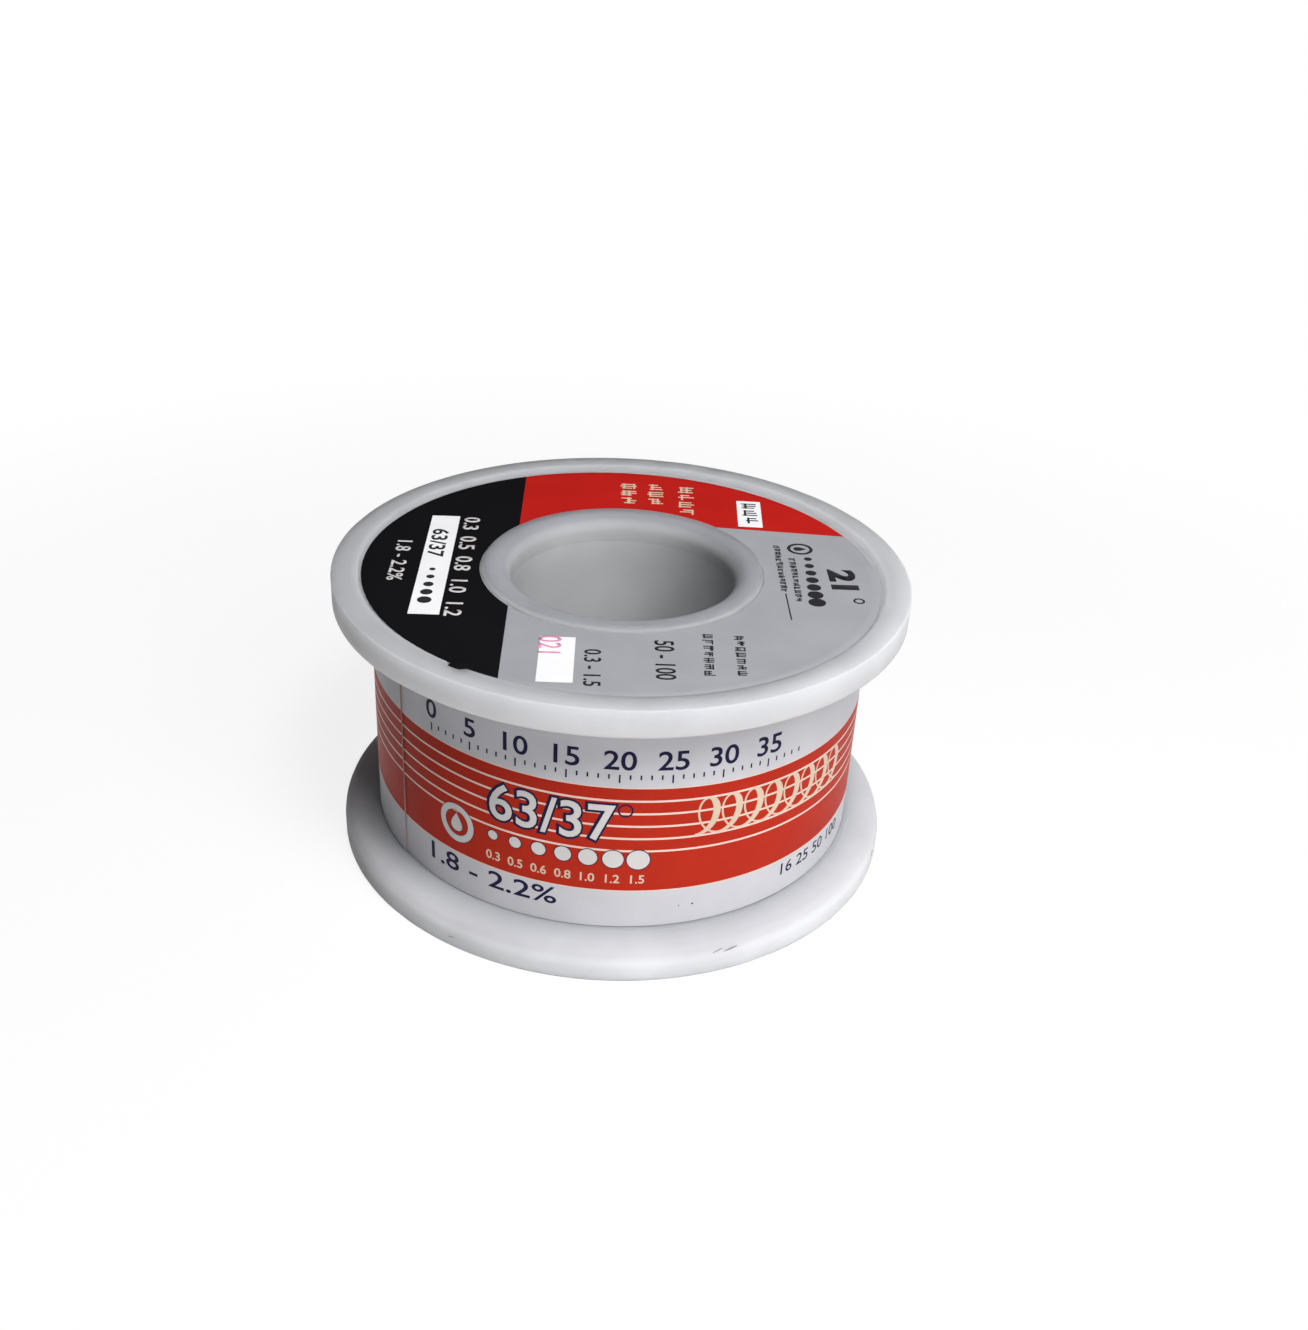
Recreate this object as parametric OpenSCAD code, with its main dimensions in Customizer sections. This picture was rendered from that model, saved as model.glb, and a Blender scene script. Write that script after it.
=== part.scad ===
// Small solder wire reel. Two plastic mouldings, each a flange with a hub tube, push together
// and snap at the hub. Wound solder wire fills the space between the flanges, a printed strip
// is glued round the winding, and a printed ring lies in the tray of the upper flange.
// +Z runs up the reel's axis, and the origin is at the centre of the underside.

/* [Flanges] */
// Overall height across both flanges
reel_h = 30.6; // [26:0.2:34]
// Outside diameter of both flanges
flange_d = 60; // [58:0.5:70]
// Thickness of a flange at its rim
rim_t = 2.8; // [2.4:0.1:3.2]
// Thickness of a flange where the winding lies against it
flange_t = 3.5; // [3.3:0.1:4.5]
// Width of the flat at the inner side of a rim
rim_flat = 0.8; // [0.7:0.1:1.2]
// Distance from the rim in to where the bevel of the inner face ends
bevel_w = 3.3; // [2.2:0.1:3.6]
// Radius of the rounded edges of the rims
edge_r = 0.4; // [0.2:0.05:0.6]

/* [Label trays] */
// Depth of the tray in the outer face of a flange
tray_depth = 0.6; // [0.3:0.05:0.9]
// Width of the flat top of the rim round a tray
rim_w = 1.8; // [1.6:0.1:4]
// How far the outer wall of a tray leans outward
tray_flare = 1.1; // [0.1:0.1:1.4]

/* [Hub] */
// Diameter of the bore that takes a spindle
bore_d = 23.5; // [20:0.1:24.5]
// Wall of the spigot tube on the lower moulding
spigot_wall = 1.45; // [1.2:0.05:1.8]
// Wall of the socket tube on the upper moulding
socket_wall = 1.4; // [1.2:0.05:1.8]
// Depth of the solid ring that the upper moulding keeps above the spigot's end
mouth_h = 2.8; // [2.2:0.1:3.2]
// Radius of the rounded mouths of the bore
mouth_r = 0.7; // [0.3:0.05:1]
// Radius of the rounded outer edge of the ring round the bore
ring_edge_r = 0.5; // [0.1:0.05:0.6]
// Clearance between the spigot and the socket
hub_gap = 0.1; // [0.05:0.01:0.15]
// Section radius of the snap bead on the spigot
snap_r = 0.5; // [0.4:0.05:0.6]
// How far the snap bead stands out of the spigot
snap_out = 0.25; // [0.15:0.05:0.35]
// Distance of the snap bead below the spigot's end
snap_drop = 4; // [3:0.5:8]
// Chamfer on the spigot's end that leads it into the socket
lead_in = 0.4; // [0.2:0.05:0.6]

/* [Solder] */
// Outside diameter of the full winding
winding_d = 51.5; // [44:0.5:52]
// Diameter of the solder wire
wire_d = 0.8; // [0.6:0.1:1.2]
// Gap between neighbouring turns of the outer layer
turn_gap = 0.45; // [0.42:0.01:0.6]
// Clearance of the winding at the hub and at both flanges
winding_gap = 0.15; // [0.1:0.05:0.3]
// Clearance between the outer layer and the layers below it
layer_gap = 0.1; // [0.05:0.01:0.2]

/* [Wrap label] */
// Thickness of the label stock
label_t = 0.15; // [0.1:0.01:0.25]
// Clearance between the winding and the strip
wrap_gap = 0.1; // [0.05:0.01:0.2]
// Clearance between the strip's edges and the flanges
strip_gap = 0.15; // [0.1:0.05:0.5]
// Length of strip that is glued down over its own start
overlap_w = 10; // [6:0.5:16]
// Direction of the strip's visible end, as an angle from +X
seam_angle = 215.5; // [0:0.5:360]
// Width of the coloured band printed along the strip
band_w = 12; // [8:0.5:14]
// Height of the band's lower edge above the strip's lower edge
band_rise = 4.3; // [2:0.1:6]

/* [Face label] */
// Clearance between the label's outer edge and the foot of the tray's wall
face_margin = 0.2; // [0.2:0.1:1]
// Clearance between the label's hole and the ring round the bore
hub_margin = 0.25; // [0.25:0.05:1]
// How far the label lies off centre
label_shift = [-0.12, -0.12];
// How far the label is turned out of square, in degrees
label_turn = 1.5; // [-3:0.5:3]
// Distance of the dark field's straight edge from the centre
dark_edge = 11.2; // [6:0.2:18]
// Distance of the coloured field's straight edge from the centre
bright_edge = 10.2; // [6:0.2:18]

/* [Colours] */
// Colour of the milky plastic
plastic_colour = [0.86, 0.88, 0.90];
// Colour of the solder wire
solder_colour = [0.62, 0.63, 0.65];
// Ground colour of the label stock
foil_colour = [0.74, 0.75, 0.77];
// Colour of the printed band and of the coloured field
band_colour = [0.80, 0.16, 0.14];
// Colour of the dark field
dark_colour = [0.07, 0.06, 0.08];

/* [Hidden] */
$fn = 96;
// Overshoot of a cut past the face that it opens
cut_extra = 0.5;

flange_r = flange_d / 2;
bore_r = bore_d / 2;
tray_r = flange_r - rim_w - tray_flare;

// The socket goes round the spigot with hub_gap all round, and the two walls end together
// as the ring round the bore.
spigot_r = bore_r + spigot_wall;
socket_r = spigot_r + hub_gap;
hub_r = socket_r + socket_wall;
spigot_top = reel_h - mouth_h - hub_gap;
snap_z = spigot_top - snap_drop;
// Each tube starts inside its own flange, at half the plate's thickness.
tube_root = flange_t / 2;

// The outer layer is one wire on a steady helix, straight between the rings that carry it,
// so it comes nearer to the axis by chord_sag there, and the layers below stay clear of that.
rings_per_turn = 24;
wire_sides = 6;
wire_r = wire_d / 2;
helix_r = winding_d / 2 - wire_r;
chord_sag = helix_r * (1 - cos(180 / rings_per_turn));
inner_layers_r = helix_r - wire_r - chord_sag - layer_gap;
winding_low = flange_t + winding_gap;
winding_high = reel_h - flange_t - winding_gap;
pitch = wire_d + turn_gap;
turns = floor((winding_high - winding_low - wire_d) / pitch);
helix_low = (winding_low + winding_high - turns * pitch) / 2;
lead_angle = atan(pitch / (2 * PI * helix_r));

// The strip starts wrap_gap off the winding and lies over its own start for overlap_w.
wrap_r = winding_d / 2 + wrap_gap;
strip_low = flange_t + strip_gap;
strip_high = reel_h - flange_t - strip_gap;
band_low = strip_low + band_rise;
band_high = band_low + band_w;
overlap_angle = overlap_w / (wrap_r + label_t) * 180 / PI;

// The ring-shaped label lies on the floor of the upper tray.
face_r = tray_r - face_margin - norm(label_shift);
face_hole_r = hub_r + hub_margin;
face_z = reel_h - tray_depth;

// Rounds the corner of a profile that is at [x, y]. sx and sy, each 1 or -1, point from the
// corner into the material, and the cut leaves a true arc of radius r.
module corner_cut(x, y, sx, sy, r) {
    side = r + cut_extra;
    translate([x + sx * (r - cut_extra) / 2, y + sy * (r - cut_extra) / 2])
        difference() {
            square(side, center = true);
            translate([sx, sy] * (cut_extra + r) / 2)
                circle(r);
        }
}

// Section of a flange lying on its outer face: plate, bevelled inner face, tray and rounded
// edges. Radius runs along X and height along Y.
module flange_section() {
    difference() {
        polygon([
            [bore_r, 0],
            [flange_r, 0],
            [flange_r, rim_t],
            [flange_r - rim_flat, rim_t],
            [flange_r - bevel_w, flange_t],
            [bore_r, flange_t]
        ]);
        polygon([
            [hub_r, -cut_extra],
            [hub_r, tray_depth],
            [tray_r, tray_depth],
            [tray_r + tray_flare, 0],
            [tray_r + tray_flare, -cut_extra]
        ]);
        corner_cut(flange_r, 0, -1, 1, edge_r);
        corner_cut(flange_r, rim_t, -1, -1, edge_r);
        corner_cut(hub_r, 0, -1, 1, min(ring_edge_r, tray_depth));
        corner_cut(bore_r, 0, 1, 1, mouth_r);
    }
}

// Section of the spigot tube, with its chamfered end and its snap bead.
module spigot_section() {
    polygon([
        [bore_r, tube_root],
        [spigot_r, tube_root],
        [spigot_r, spigot_top - lead_in],
        [spigot_r - lead_in, spigot_top],
        [bore_r, spigot_top]
    ]);
    snap_bead(snap_r);
}

// Section of the snap bead, or of its groove when r includes the clearance.
module snap_bead(r) {
    translate([spigot_r + snap_out - snap_r, snap_z])
        circle(r);
}

// Lower moulding: the flange that the reel stands on, with the inner hub tube.
module lower_flange_half() {
    color(plastic_colour)
        rotate_extrude() {
            flange_section();
            spigot_section();
        }
}

// Upper moulding: the flange with the outer hub tube, which seats on the lower flange.
module upper_flange_half() {
    color(plastic_colour)
        rotate_extrude()
            difference() {
                union() {
                    translate([0, reel_h])
                        mirror([0, 1])
                            flange_section();
                    translate([socket_r, flange_t])
                        square([socket_wall, reel_h - tube_root - flange_t]);
                }
                square([socket_r, reel_h - mouth_h]);
                snap_bead(snap_r + hub_gap);
            }
}

// All the layers of wire below the outermost one, as one wound body.
module solder_inner_layers() {
    color(solder_colour)
        rotate_extrude()
            translate([hub_r + winding_gap, winding_low])
                square([inner_layers_r - hub_r - winding_gap, winding_high - winding_low]);
}

// Point of the helix at angle a from +X, counted on over all the turns.
function helix_point(a) = [helix_r * cos(a), helix_r * sin(a), helix_low + pitch * a / 360];

// Direction of the wire at angle a.
function helix_run(a) = [-cos(lead_angle) * sin(a), cos(lead_angle) * cos(a), sin(lead_angle)];

// Corners of the wire's section about centre c at angle a, square to the wire there.
function wire_ring(c, a) = [
    for (k = [0 : wire_sides - 1])
        let (
            outward = [cos(a), sin(a), 0],
            upward = cross(outward, helix_run(a)),
            turn = 360 * k / wire_sides
        )
        c + wire_r * (cos(turn) * outward + sin(turn) * upward)
];

// One unbroken wire: rings along the helix, and a straight end one wire diameter long.
module solder_outer_layer() {
    last = turns * rings_per_turn;
    angles = [for (i = [0 : last]) i * 360 / rings_per_turn];
    end_angle = angles[last];
    rings = concat(
        [wire_ring(helix_point(0) - wire_d * helix_run(0), 0)],
        [for (a = angles) wire_ring(helix_point(a), a)],
        [wire_ring(helix_point(end_angle) + wire_d * helix_run(end_angle), end_angle)]
    );
    corners = [for (ring = rings) each ring];
    count = len(rings);
    sides = [
        for (i = [0 : count - 2], k = [0 : wire_sides - 1])
            let (
                a = i * wire_sides + k,
                b = i * wire_sides + (k + 1) % wire_sides,
                c = a + wire_sides,
                d = b + wire_sides
            )
            each [[a, b, d], [a, d, c]]
    ];
    first_cap = [for (k = [1 : wire_sides - 2]) [0, k + 1, k]];
    top = (count - 1) * wire_sides;
    last_cap = [for (k = [1 : wire_sides - 2]) [top, top + k, top + k + 1]];
    color(solder_colour)
        polyhedron(points = corners, faces = concat(sides, first_cap, last_cap), convexity = 10);

    // The least gap of the wire to itself, over pairs of points half a turn or more apart.
    centres = [for (a = angles) helix_point(a)];
    least_gap = min([
        for (i = [0 : last - rings_per_turn], j = [i + rings_per_turn / 2 : min(last, i + 2 * rings_per_turn)])
            norm(centres[i] - centres[j])
    ]) - wire_d;
    echo(str("Turns in the outer layer: ", turns, ", least gap to itself: ", least_gap, " mm"));
}

// Plan of the wrapped strip: a closed ring, doubled where the strip lies over its own start.
module strip_plan() {
    reach = 2 * (wrap_r + label_t);
    difference() {
        union() {
            circle(wrap_r + label_t);
            intersection() {
                circle(wrap_r + 2 * label_t);
                polygon([
                    [0, 0],
                    reach * [cos(seam_angle - overlap_angle), sin(seam_angle - overlap_angle)],
                    reach * [cos(seam_angle), sin(seam_angle)]
                ]);
            }
        }
        circle(wrap_r);
    }
}

// Part of the wrapped strip between two heights.
module strip_part(low, high) {
    translate([0, 0, low])
        linear_extrude(high - low)
            strip_plan();
}

// Printed strip round the winding, with its coloured band.
module wrap_label() {
    color(foil_colour) {
        strip_part(strip_low, band_low);
        strip_part(band_high, strip_high);
    }
    color(band_colour)
        strip_part(band_low, band_high);
}

// Half-planes that divide the face label: the dark field lies beyond dark_edge on the -X
// side, and the coloured field beyond bright_edge on the +Y side of what is left.
module dark_side() {
    translate([-dark_edge - flange_d, -flange_d])
        square([flange_d, 2 * flange_d]);
}

module bright_side() {
    translate([-dark_edge, bright_edge])
        square([2 * flange_d, flange_d]);
}

module plain_side() {
    translate([-dark_edge, bright_edge - 2 * flange_d])
        square([2 * flange_d, 2 * flange_d]);
}

// One printed field of the face label, cut out of the ring by the plane area that it is given.
module face_field() {
    translate([label_shift[0], label_shift[1], face_z])
        rotate([0, 0, label_turn])
            linear_extrude(label_t)
                intersection() {
                    difference() {
                        circle(face_r);
                        circle(face_hole_r);
                    }
                    children();
                }
}

// Printed ring in the tray of the upper flange.
module face_label() {
    color(dark_colour)
        face_field() dark_side();
    color(band_colour)
        face_field() bright_side();
    color(foil_colour)
        face_field() plain_side();
}

lower_flange_half();
upper_flange_half();
solder_inner_layers();
solder_outer_layer();
wrap_label();
face_label();
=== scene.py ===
import math
import random

import bmesh
import bpy
from mathutils import Matrix, Vector, noise


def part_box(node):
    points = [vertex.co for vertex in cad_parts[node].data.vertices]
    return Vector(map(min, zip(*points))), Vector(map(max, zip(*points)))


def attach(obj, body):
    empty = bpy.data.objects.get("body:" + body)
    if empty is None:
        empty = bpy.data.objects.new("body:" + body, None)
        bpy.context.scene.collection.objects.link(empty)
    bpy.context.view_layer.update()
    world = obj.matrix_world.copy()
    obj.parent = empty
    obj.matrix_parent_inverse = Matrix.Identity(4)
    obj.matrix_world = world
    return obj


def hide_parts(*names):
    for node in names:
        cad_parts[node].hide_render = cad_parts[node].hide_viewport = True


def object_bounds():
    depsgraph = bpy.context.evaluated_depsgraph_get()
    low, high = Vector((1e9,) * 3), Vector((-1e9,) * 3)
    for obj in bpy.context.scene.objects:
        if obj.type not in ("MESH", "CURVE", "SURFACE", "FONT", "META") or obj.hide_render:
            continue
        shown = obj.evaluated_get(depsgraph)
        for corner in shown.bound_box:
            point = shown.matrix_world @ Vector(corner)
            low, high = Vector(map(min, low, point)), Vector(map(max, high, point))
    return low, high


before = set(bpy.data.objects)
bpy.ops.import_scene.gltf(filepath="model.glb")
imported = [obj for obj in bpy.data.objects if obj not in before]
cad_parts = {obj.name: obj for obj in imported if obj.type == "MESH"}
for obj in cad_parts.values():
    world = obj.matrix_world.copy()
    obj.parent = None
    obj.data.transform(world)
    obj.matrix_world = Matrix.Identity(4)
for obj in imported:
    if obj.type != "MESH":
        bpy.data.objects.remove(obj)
cad_low, cad_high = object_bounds()
scene = bpy.context.scene
MM = 0.001


# ---- Camera ----------------------------------------------------------------------------------
# A short lens about 17 cm from the reel looks down on it at 29 degrees. The camera is held
# almost straight in front, with a slight roll.
camera_place = (0, -0.138, 0.0958)
camera_yaw = math.radians(1.57)
camera_pitch = math.radians(29.24)
camera_roll = math.radians(3.22)
lens_mm = 39.41

camera_data = bpy.data.cameras.new("camera")
camera_data.lens = lens_mm
camera_data.clip_start = 5 * MM
camera = bpy.data.objects.new("camera", camera_data)
camera.matrix_world = (
    Matrix.Translation(camera_place)
    @ Matrix.Rotation(-camera_yaw, 4, "Z")
    @ Matrix.Rotation(math.pi / 2 - camera_pitch, 4, "X")
    @ Matrix.Rotation(camera_roll, 4, "Z")
)
scene.collection.objects.link(camera)
scene.camera = camera


# ---- Floor and light -------------------------------------------------------------------------
# The reel stands on a plain white sheet. Four soft lamps stand close by on the front right, from
# low to high up, and a weak one stands behind. The room is dark, but gloss shows it as white.
floor_size = 12.0
floor_drop = 0.02 * MM
floor_tone = 0.55
floor_own_light = 0.85
floor_lit_r = 60 * MM
floor_plain_r = 170 * MM
room_light = 0.02
lamp_distance = 0.34
lamp_size = 0.09
# Degrees round from the front towards the right, degrees up, and watts of each lamp
lamps = {
    "low_lamp": (28, 10, 0.35),
    "side_lamp": (45, 45, 0.37),
    "front_lamp": (18, 58, 0.39),
    "high_lamp": (30, 64, 0.44),
    "back_lamp": (150, 45, 0.04),
}


def add_node(tree, kind, inputs=None, **settings):
    """Adds a node. An input, named or numbered, is a constant or the socket that feeds it."""
    made = tree.nodes.new(kind)
    for name, value in settings.items():
        setattr(made, name, value)
    for name, value in (inputs or {}).items():
        if isinstance(value, bpy.types.NodeSocket):
            tree.links.new(value, made.inputs[name])
        else:
            made.inputs[name].default_value = value
    return made


def math_node(tree, operation, *values):
    """Result socket of one calculation with numbers."""
    return add_node(
        tree, "ShaderNodeMath", dict(enumerate(values)), operation=operation
    ).outputs[0]


def ramp_node(tree, value, low, high, start=0.0, end=1.0, kind="LINEAR"):
    """Result socket that goes from low to high while a value goes from start to end."""
    return add_node(
        tree, "ShaderNodeMapRange",
        {"Value": value, "From Min": start, "From Max": end, "To Min": low, "To Max": high},
        interpolation_type=kind,
    ).outputs[0]


def shown_rays(tree):
    """1 for the rays that show the room, straight or in gloss or glass, and 0 for the rest."""
    rays = add_node(tree, "ShaderNodeLightPath").outputs
    straight_or_gloss = math_node(tree, "MAXIMUM", rays["Is Camera Ray"], rays["Is Glossy Ray"])
    return math_node(tree, "MAXIMUM", straight_or_gloss, rays["Is Transmission Ray"])


def floor_sheet():
    """Pale sheet that looks white, all of it far off, and keeps the reel's soft shadow."""
    material = bpy.data.materials.new("floor_white")
    material.use_nodes = True
    tree = material.node_tree
    tree.nodes.clear()
    shown = shown_rays(tree)
    paleness = ramp_node(tree, shown, floor_tone, 1.0)
    matt = add_node(tree, "ShaderNodeBsdfDiffuse", {"Color": paleness})
    glow = add_node(tree, "ShaderNodeEmission", {"Color": (1, 1, 1, 1), "Strength": 1.0})
    place = add_node(tree, "ShaderNodeTexCoord").outputs["Object"]
    away = add_node(tree, "ShaderNodeVectorMath", {0: place}, operation="LENGTH")
    own_light = ramp_node(
        tree, away.outputs["Value"], floor_own_light, 1.0, floor_lit_r, floor_plain_r,
        kind="SMOOTHSTEP",
    )
    lit = add_node(tree, "ShaderNodeMixShader", {
        0: math_node(tree, "MULTIPLY", shown, own_light), 1: matt.outputs[0], 2: glow.outputs[0],
    })
    # Seen from below, the sheet is clear, so that the underside of the reel can be looked at.
    clear = add_node(tree, "ShaderNodeBsdfTransparent")
    below = add_node(tree, "ShaderNodeNewGeometry").outputs["Backfacing"]
    both = add_node(
        tree, "ShaderNodeMixShader", {0: below, 1: lit.outputs[0], 2: clear.outputs[0]}
    )
    add_node(tree, "ShaderNodeOutputMaterial", {"Surface": both.outputs[0]})
    return material


def finished_mesh(name, form):
    """Mesh of a finished form."""
    mesh = bpy.data.meshes.new(name)
    form.to_mesh(mesh)
    form.free()
    return mesh


def floor_mesh():
    """One large square just under the reel."""
    plane = bmesh.new()
    bmesh.ops.create_grid(plane, x_segments=1, y_segments=1, size=floor_size / 2)
    bmesh.ops.translate(plane, verts=plane.verts, vec=(0, 0, -floor_drop))
    return finished_mesh("floor", plane)


def soft_lamp(name, azimuth, rise, power):
    """Square lamp round and up from the front of the reel, that looks at its middle."""
    data = bpy.data.lights.new(name, "AREA")
    data.size = lamp_size
    data.energy = power
    lamp = bpy.data.objects.new(name, data)
    swing = Matrix.Rotation(math.radians(azimuth), 3, "Z")
    lift = Matrix.Rotation(math.radians(-rise), 3, "X")
    lamp.location = swing @ lift @ Vector((0, -lamp_distance, 0))
    aim = (cad_low + cad_high) / 2 - lamp.location
    lamp.rotation_euler = aim.to_track_quat("-Z", "Y").to_euler()
    scene.collection.objects.link(lamp)


floor = bpy.data.objects.new("floor", floor_mesh())
floor.data.materials.append(floor_sheet())
scene.collection.objects.link(floor)

for name, (azimuth, rise, power) in lamps.items():
    soft_lamp(name, azimuth, rise, power)

world = bpy.data.worlds.new("room")
world.use_nodes = True
world_tree = world.node_tree
room = world_tree.nodes["Background"]
room.inputs["Color"].default_value = (1, 1, 1, 1)
room_level = ramp_node(world_tree, shown_rays(world_tree), room_light, 1.0)
world_tree.links.new(room_level, room.inputs["Strength"])
scene.world = world
scene.view_settings.view_transform = "Standard"


# ---- Lower flange half -----------------------------------------------------------------------
# Injection moulding in milky natural polypropylene: the flange that the reel stands on, with
# the spigot tube of the hub, which snaps into the upper half. Its rim is worn and not quite even.
flange_r = cad_high.x
reel_h = cad_high.z
rim_t = 2.8 * MM
flange_t = 3.5 * MM
bevel_w = 3.3 * MM
edge_r = 0.15 * MM
worn_edge_r = 1.6 * MM
tray_depth = 0.6 * MM
tray_r = 27.1 * MM
tray_lean = 0.3 * MM
bore_r = 11.75 * MM
spigot_r = 13.2 * MM
socket_r = 13.3 * MM
hub_r = 14.7 * MM
mouth_h = 2.8 * MM
mouth_r = 1.7 * MM
ring_edge_r = 0.5 * MM
spigot_top = reel_h - mouth_h - 0.01 * MM
lead_in = 0.4 * MM
snap_drop = 4.0 * MM
snap_out = 0.25 * MM
snap_half = 0.45 * MM
lathe_steps = 360
arc_steps = 5
arc_share = 0.85
straight_on = math.radians(89.5)
rim_wobble = 0.05 * MM
nick_depth = 0.06 * MM
nick_width = 0.9 * MM
rim_waves = 1.6
# The range that soft noise keeps to nearly everywhere
noise_low = 0.3
noise_high = 0.7
# Notch in the tray's wall of the upper half, with its half width and its ends in degrees
gap_angle = math.radians(-122.6)
gap_depth = 0.55 * MM
gap_half = 2.1
gap_end = 0.6
tray_wall_from = tray_r - 0.2 * MM
tray_wall_to = tray_r + tray_lean + 0.3 * MM


def colour(code):
    """Linear colour of a hex code as it is seen on a screen."""
    parts = [int(code[i:i + 2], 16) / 255 for i in (0, 2, 4)]
    linear = [p / 12.92 if p <= 0.04045 else ((p + 0.055) / 1.055) ** 2.4 for p in parts]
    return (*linear, 1.0)


def rounded_outline(corners):
    """Closed outline through corners (radius, height, rounding), each turned into an arc."""
    points = []
    count = len(corners)
    for i, (x, y, rounding) in enumerate(corners):
        here = Vector((x, y))
        back = Vector(corners[i - 1][:2]) - here
        on = Vector(corners[(i + 1) % count][:2]) - here
        half_angle = back.angle(on) / 2
        if rounding <= 0 or half_angle > straight_on:
            points.append(here)
            continue
        room_for_arc = arc_share * min(back.length, on.length)
        run = min(rounding / math.tan(half_angle), room_for_arc)
        start, end = here + back.normalized() * run, here + on.normalized() * run
        for k in range(arc_steps + 1):
            t = k / arc_steps
            # A rational curve with this weight is a true arc between the two tangent points.
            weight = math.sin(half_angle)
            a, b, c = (1 - t) ** 2, 2 * t * (1 - t) * weight, t ** 2
            points.append((a * start + b * here + c * end) / (a + b + c))
    return points


def turned(name, outline, steps=lathe_steps):
    """Mesh of a closed outline of (radius, height) turned round the reel's axis."""
    form = bmesh.new()
    rings = []
    for s in range(steps):
        angle = 2 * math.pi * s / steps
        along = Vector((math.cos(angle), math.sin(angle), 0))
        rings.append([form.verts.new(along * p.x + Vector((0, 0, p.y))) for p in outline])
    for s in range(steps):
        ring, following = rings[s], rings[(s + 1) % steps]
        for i in range(len(outline)):
            k = (i + 1) % len(outline)
            form.faces.new((ring[i], following[i], following[k], ring[k]))
    bmesh.ops.recalc_face_normals(form, faces=form.faces)
    mesh = finished_mesh(name, form)
    mesh.shade_smooth()
    mesh.set_sharp_from_angle(angle=math.radians(38))
    return mesh


def in_gap(x, y):
    """1 at the gap in the tray's wall, 0 away from it, for a place seen from above."""
    apart = abs(math.degrees(math.remainder(math.atan2(y, x) - gap_angle, 2 * math.pi)))
    return min(1.0, max(0.0, (gap_half - apart) / gap_end))


def wear_rim(mesh, seed, nicks, gap=0.0):
    """Draws the rim in a little, unevenly, dents its edges and notches the tray's wall."""
    draw = random.Random(seed)
    knocks = [(draw.uniform(0, 2 * math.pi), draw.uniform(0.4, 1)) for _ in range(nicks)]
    for vertex in mesh.vertices:
        spot = vertex.co
        radius = math.hypot(spot.x, spot.y)
        if radius < tray_wall_from:
            continue
        angle = math.atan2(spot.y, spot.x)
        if radius < tray_wall_to:
            outward = gap * in_gap(spot.x, spot.y)
            spot.x += outward * math.cos(angle)
            spot.y += outward * math.sin(angle)
            continue
        in_noise = (rim_waves * math.cos(angle), rim_waves * math.sin(angle), seed)
        wave = noise.noise(Vector(in_noise))
        inward = rim_wobble * (0.5 + 0.5 * wave)
        if radius > flange_r - edge_r:
            for place, strength in knocks:
                apart = math.remainder(angle - place, 2 * math.pi) * flange_r
                inward += nick_depth * strength * math.exp(-((apart / nick_width) ** 2))
        spot.x -= inward * math.cos(angle)
        spot.y -= inward * math.sin(angle)


def new_finish(name, values):
    """Material, its tree and shader, and the socket of the place on the piece."""
    material = bpy.data.materials.new(name)
    material.use_nodes = True
    tree = material.node_tree
    shader = tree.nodes["Principled BSDF"]
    for socket, value in values.items():
        shader.inputs[socket].default_value = value
    return material, tree, shader, add_node(tree, "ShaderNodeTexCoord").outputs["Object"]


def noise_node(tree, place, scale, detail):
    """Result socket of soft noise, scale waves to the metre."""
    return add_node(
        tree, "ShaderNodeTexNoise", {"Vector": place, "Scale": scale, "Detail": detail}
    ).outputs["Fac"]


def dress(tree, shader, tint, roughness, height, relief, depth):
    """Links colour, roughness and a bump of some strength and depth to a shader."""
    bump = add_node(
        tree, "ShaderNodeBump", {"Height": height, "Strength": relief, "Distance": depth}
    )
    tree.links.new(tint, shader.inputs["Base Color"])
    tree.links.new(roughness, shader.inputs["Roughness"])
    tree.links.new(bump.outputs[0], shader.inputs["Normal"])


def uneven_tint(tree, tint, shade):
    """Result socket of a colour times a shade."""
    return add_node(
        tree, "ShaderNodeMix", {"Factor": 1.0, 6: tint, 7: shade},
        data_type="RGBA", blend_type="MULTIPLY",
    ).outputs[2]


def milky_plastic(name, tones, depth):
    """Natural polypropylene: cloudy and satin, greyer where wire backs it, with painted shade and
    painted highlights in its tones by radius.
    """
    material, tree, shader, place = new_finish(name, {
        "IOR": 1.5,
        "Subsurface Radius": (1.0, 0.97, 0.95),
        "Subsurface Scale": depth,
        "Specular IOR Level": 0.03,
    })
    flat = add_node(
        tree, "ShaderNodeVectorMath",
        {0: place, 1: (1 / flange_r, 1 / flange_r, 0)}, operation="MULTIPLY",
    )
    outward = add_node(
        tree, "ShaderNodeVectorMath", {0: flat.outputs[0]}, operation="LENGTH"
    ).outputs["Value"]
    # The bore's wall is backed all over, so no light comes through it.
    cloudy = ramp_node(
        tree, outward, 0.0, 1.0, bore_r / flange_r, hub_r / flange_r, kind="SMOOTHSTEP"
    )
    tree.links.new(cloudy, shader.inputs["Subsurface Weight"])
    # Tone by radius: greyer where wire backs the plastic, with the painted shade and painted
    # highlights given in each flange's tones.
    tone_with_painted_light = add_node(tree, "ShaderNodeValToRGB", {"Fac": outward})
    stops = tone_with_painted_light.color_ramp.elements
    for _ in tones[2:]:
        stops.new(0.5)
    for stop, (radius, tone) in zip(stops, tones):
        stop.position = radius / flange_r
        stop.color = colour(tone)
    clouds = noise_node(tree, place, scale=130.0, detail=3.0)
    cloudiness = ramp_node(tree, clouds, 0.91, 1.03, noise_low, noise_high)
    clouded = uneven_tint(tree, tone_with_painted_light.outputs[0], cloudiness)
    patches = noise_node(tree, place, scale=420.0, detail=4.0)
    satin = ramp_node(tree, patches, 0.44, 0.6, noise_low, noise_high)
    grain = noise_node(tree, place, scale=900.0, detail=2.0)
    dress(tree, shader, clouded, satin, grain, relief=0.12, depth=0.05 * MM)
    return material


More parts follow.
